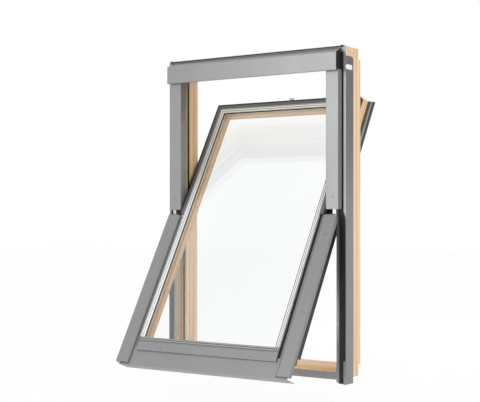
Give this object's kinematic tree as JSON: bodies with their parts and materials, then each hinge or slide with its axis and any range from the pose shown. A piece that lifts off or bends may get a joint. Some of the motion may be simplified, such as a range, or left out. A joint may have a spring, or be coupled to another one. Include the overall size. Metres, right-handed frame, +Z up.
{
  "type": "roof window",
  "caption": "Pine roof window with grey aluminium covers, its glazed sash pivoted half way up the sides and swung part way open",
  "frame": {"origin": "centre of the wooden sill's underside, on the middle of its depth", "axes": "X runs across the window to the right seen from outside, +Y points from the weather side into the room, +Z up the roof slope"},
  "size_m": [0.7832, 0.668, 1.1815],
  "materials": {
    "pine": "clear lacquered pine, glued in layers",
    "grey_sheet": "smooth satin grey coating on folded aluminium",
    "bare_aluminium": "satin drawn aluminium",
    "dark_trim": "dark grey coated profile",
    "black_seal": "matte black sealing rubber",
    "black_plastic": "matte moulded plastic",
    "zinc_steel": "bright zinc plated steel",
    "brown_gasket": "matte brown sealing rubber",
    "warm_spacer": "matte beige spacer bar",
    "pane_glass": "clear float glass"
  },
  "bodies": {
    "frame": {"casing_caps": "black_plastic", "casing_clips": "zinc_steel", "channel_rails": "grey_sheet", "channel_seal_left": "black_seal", "channel_seal_right": "black_seal", "frame_cover_clips": "black_plastic", "frame_cover_left": "grey_sheet", "frame_cover_right": "grey_sheet", "frame_head": "pine", "frame_screws": "zinc_steel", "frame_side_left": "pine", "frame_side_right": "pine", "frame_sill": "pine", "head_plate": "grey_sheet", "hinge_housing_left": "zinc_steel", "hinge_housing_right": "zinc_steel", "lip_seal": "black_seal", "sill_strip": "grey_sheet", "skirt_left": "grey_sheet", "skirt_right": "grey_sheet", "stop_seals": "black_seal", "striker_plate": "zinc_steel", "top_casing": "grey_sheet", "upper_seals": "black_seal"},
    "sash": {"stile_left": "pine", "stile_right": "pine", "top_rail": "pine", "bottom_rail": "pine", "outer_pane": "pane_glass", "inner_pane": "pane_glass", "spacer_bar": "warm_spacer", "side_bead_left": "bare_aluminium", "side_bead_right": "bare_aluminium", "top_bead": "bare_aluminium", "side_trim_left": "dark_trim", "side_trim_right": "dark_trim", "top_trim": "dark_trim", "edge_seal": "black_seal", "glazing_gasket": "black_seal", "gap_seals": "black_seal", "bottom_profile": "grey_sheet", "bottom_cover": "grey_sheet", "sash_cover_left": "grey_sheet", "sash_cover_right": "grey_sheet", "cover_carriers": "black_plastic", "rear_rail_left": "bare_aluminium", "rear_rail_right": "bare_aluminium", "rear_seals": "black_seal", "rear_gaskets": "brown_gasket", "hinge_tongue_left": "zinc_steel", "hinge_tongue_right": "zinc_steel", "sash_screws": "zinc_steel", "bar_brackets": "zinc_steel", "flap_lugs": "zinc_steel", "latch_housing": "zinc_steel", "bolt_barrel": "zinc_steel"},
    "bar": {"control_bar": "bare_aluminium"},
    "flap": {"vent_flap": "bare_aluminium"},
    "latch": {"latch_bolt": "zinc_steel"},
    "bolt": {"side_bolt": "zinc_steel"}
  },
  "joints": [
    {"name": "sash_pivot", "type": "hinge", "parent": "frame", "child": "sash", "pos_m": [0, -0.066, 0.5875], "axis": [-1, 0, 0], "range_deg": [-30.2, 125]},
    {"name": "bar_hinge", "type": "hinge", "parent": "sash", "child": "bar", "pos_m": [0, 0.23678, 0.96261], "axis": [-1, 0, 0], "range_deg": [0, 30]},
    {"name": "flap_hinge", "type": "hinge", "parent": "sash", "child": "flap", "pos_m": [0, 0.22801, 0.98333], "axis": [1, 0, 0], "range_deg": [0, 30]},
    {"name": "latch_slide", "type": "slide", "parent": "sash", "child": "latch", "axis": [0, -0.503, -0.8643], "range_m": [0, 0.006]},
    {"name": "bolt_slide", "type": "slide", "parent": "sash", "child": "bolt", "axis": [1, 0, 0], "range_m": [0, 0.02]}
  ],
  "couplings": [
    {"joint": "flap_hinge", "follows": "bar_hinge", "ratio": 1},
    {"joint": "latch_slide", "follows": "bar_hinge", "m_per_rad": 0.011459}
  ]
}
